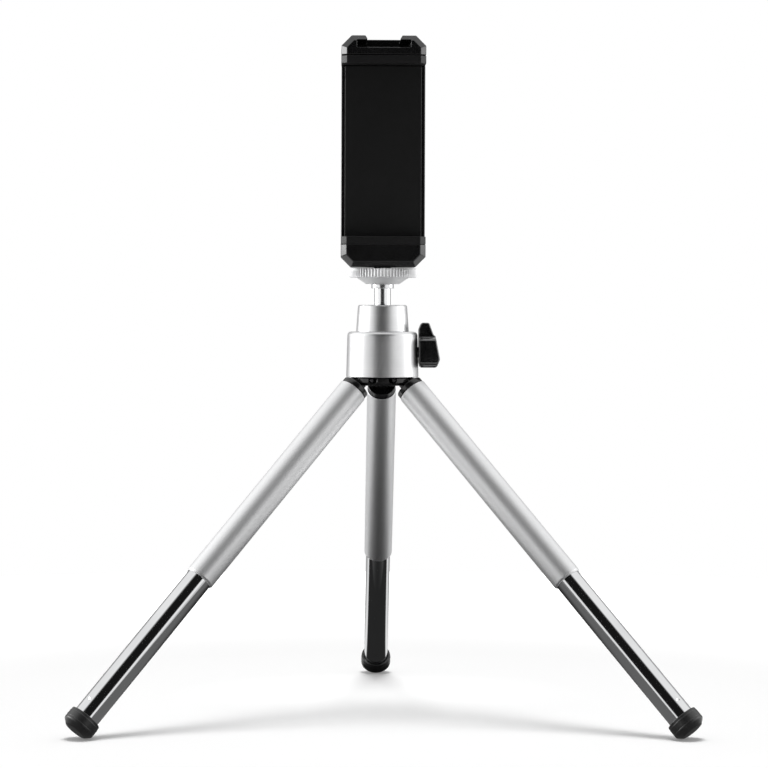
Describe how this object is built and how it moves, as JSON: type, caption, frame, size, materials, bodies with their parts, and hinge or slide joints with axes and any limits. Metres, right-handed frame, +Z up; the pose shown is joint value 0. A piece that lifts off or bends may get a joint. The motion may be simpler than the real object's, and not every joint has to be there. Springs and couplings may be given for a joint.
{
  "type": "table-top tripod with phone clamp",
  "caption": "Table-top tripod with telescopic legs, a lockable ball head and a sprung phone clamp whose upper jaw carries an accessory shoe.",
  "frame": {"origin": "bottom centre of the bounding box, on the surface that the feet stand on", "axes": "+Z up along the stem, +Y from the clamp's front to its back and along the single rear leg, +X towards the lock knob"},
  "size_m": [0.2066, 0.1806, 0.2309],
  "materials": {
    "satin_aluminium": "satin, fine turned grain",
    "chrome": "polished",
    "steel": "plain bright",
    "brass": "machined",
    "black_plastic": "fine satin texture",
    "gloss_plastic": "glossy",
    "black_rubber": "matt",
    "nylon": "satin"
  },
  "bodies": {
    "head": {"leg_hub": "black_plastic", "hub_screw": "steel", "head_housing": "satin_aluminium", "ball_collar": "satin_aluminium", "pivot_pin_back": "steel", "pivot_pin_left": "steel", "pivot_pin_right": "steel"},
    "leg_back": {"leg_knuckle_back": "black_plastic", "outer_tube_back": "satin_aluminium"},
    "leg_extension_back": {"inner_tube_back": "chrome", "guide_bush_back": "nylon", "foot_cap_back": "black_rubber"},
    "leg_left": {"leg_knuckle_left": "black_plastic", "outer_tube_left": "satin_aluminium"},
    "leg_extension_left": {"inner_tube_left": "chrome", "guide_bush_left": "nylon", "foot_cap_left": "black_rubber"},
    "leg_right": {"leg_knuckle_right": "black_plastic", "outer_tube_right": "satin_aluminium"},
    "leg_extension_right": {"inner_tube_right": "chrome", "guide_bush_right": "nylon", "foot_cap_right": "black_rubber"},
    "seat": {"ball_seat": "nylon"},
    "ball": {"ball_stem": "chrome", "stem_nut": "chrome", "camera_stud": "steel"},
    "disc": {"knurled_disc": "satin_aluminium"},
    "lock_plug": {"pressure_plug": "brass"},
    "lock": {"lock_knob": "gloss_plastic", "lock_screw": "steel"},
    "clamp": {"clamp_housing": "black_plastic", "clamp_back_cover": "black_plastic", "lower_jaw_pad": "black_rubber", "grip_pad": "black_rubber", "thread_insert": "brass", "cover_screw_lower_left": "steel", "cover_screw_lower_right": "steel", "cover_screw_upper_left": "steel", "cover_screw_upper_right": "steel", "spring_pin": "steel", "spring_left": "steel", "spring_right": "steel"},
    "jaw": {"upper_jaw": "black_plastic", "upper_jaw_pad": "black_rubber", "jaw_slider": "steel", "jaw_screw_left": "steel", "jaw_screw_right": "steel"}
  },
  "joints": [
    {"name": "leg_fold_back", "type": "hinge", "parent": "head", "child": "leg_back", "pos_m": [0, -0.01973, 0.11491], "axis": [-1, 0, 0], "range_deg": [0, 43.66]},
    {"name": "leg_fold_left", "type": "hinge", "parent": "head", "child": "leg_left", "pos_m": [-0.00719, -0.03218, 0.11491], "axis": [0.5, -0.866, 0], "range_deg": [0, 43.66]},
    {"name": "leg_fold_right", "type": "hinge", "parent": "head", "child": "leg_right", "pos_m": [0.00719, -0.03218, 0.11491], "axis": [0.5, 0.866, 0], "range_deg": [0, 43.66]},
    {"name": "leg_slide_back", "type": "slide", "parent": "leg_back", "child": "leg_extension_back", "axis": [0, -0.6904, 0.7234], "range_m": [0, 0.0584]},
    {"name": "leg_slide_left", "type": "slide", "parent": "leg_left", "child": "leg_extension_left", "axis": [0.5979, 0.3452, 0.7234], "range_m": [0, 0.0584]},
    {"name": "leg_slide_right", "type": "slide", "parent": "leg_right", "child": "leg_extension_right", "axis": [-0.5979, 0.3452, 0.7234], "range_m": [0, 0.0584]},
    {"name": "ball_pan", "type": "hinge", "parent": "head", "child": "seat", "pos_m": [0, -0.02803, 0.13414], "axis": [0, 0, 1], "continuous": true},
    {"name": "ball_tilt", "type": "hinge", "parent": "seat", "child": "ball", "pos_m": [0, -0.02803, 0.13414], "axis": [1, 0, 0], "range_deg": [-28, 28]},
    {"name": "disc_turn", "type": "hinge", "parent": "ball", "child": "disc", "pos_m": [0, -0.02803, 0.15019], "axis": [0, 0, 1], "continuous": true},
    {"name": "clamp_turn", "type": "hinge", "parent": "ball", "child": "clamp", "pos_m": [0, -0.02803, 0.15314], "axis": [0, 0, 1], "continuous": true},
    {"name": "jaw_slide", "type": "slide", "parent": "clamp", "child": "jaw", "axis": [0, 0, 1], "range_m": [0, 0.027], "stiffness_N_per_m": 60, "springref_m": -0.03, "deforming": ["spring_left", "spring_right"]},
    {"name": "lock_travel", "type": "slide", "parent": "head", "child": "lock_plug", "axis": [1, 0, 0], "range_m": [0, 0.00105]},
    {"name": "lock_turn", "type": "hinge", "parent": "lock_plug", "child": "lock", "pos_m": [0.01605, -0.02803, 0.12424], "axis": [1, 0, 0], "range_deg": [0, 540]}
  ],
  "couplings": [
    {"joint": "lock_turn", "follows": "lock_travel", "rad_per_m": 8976}
  ]
}
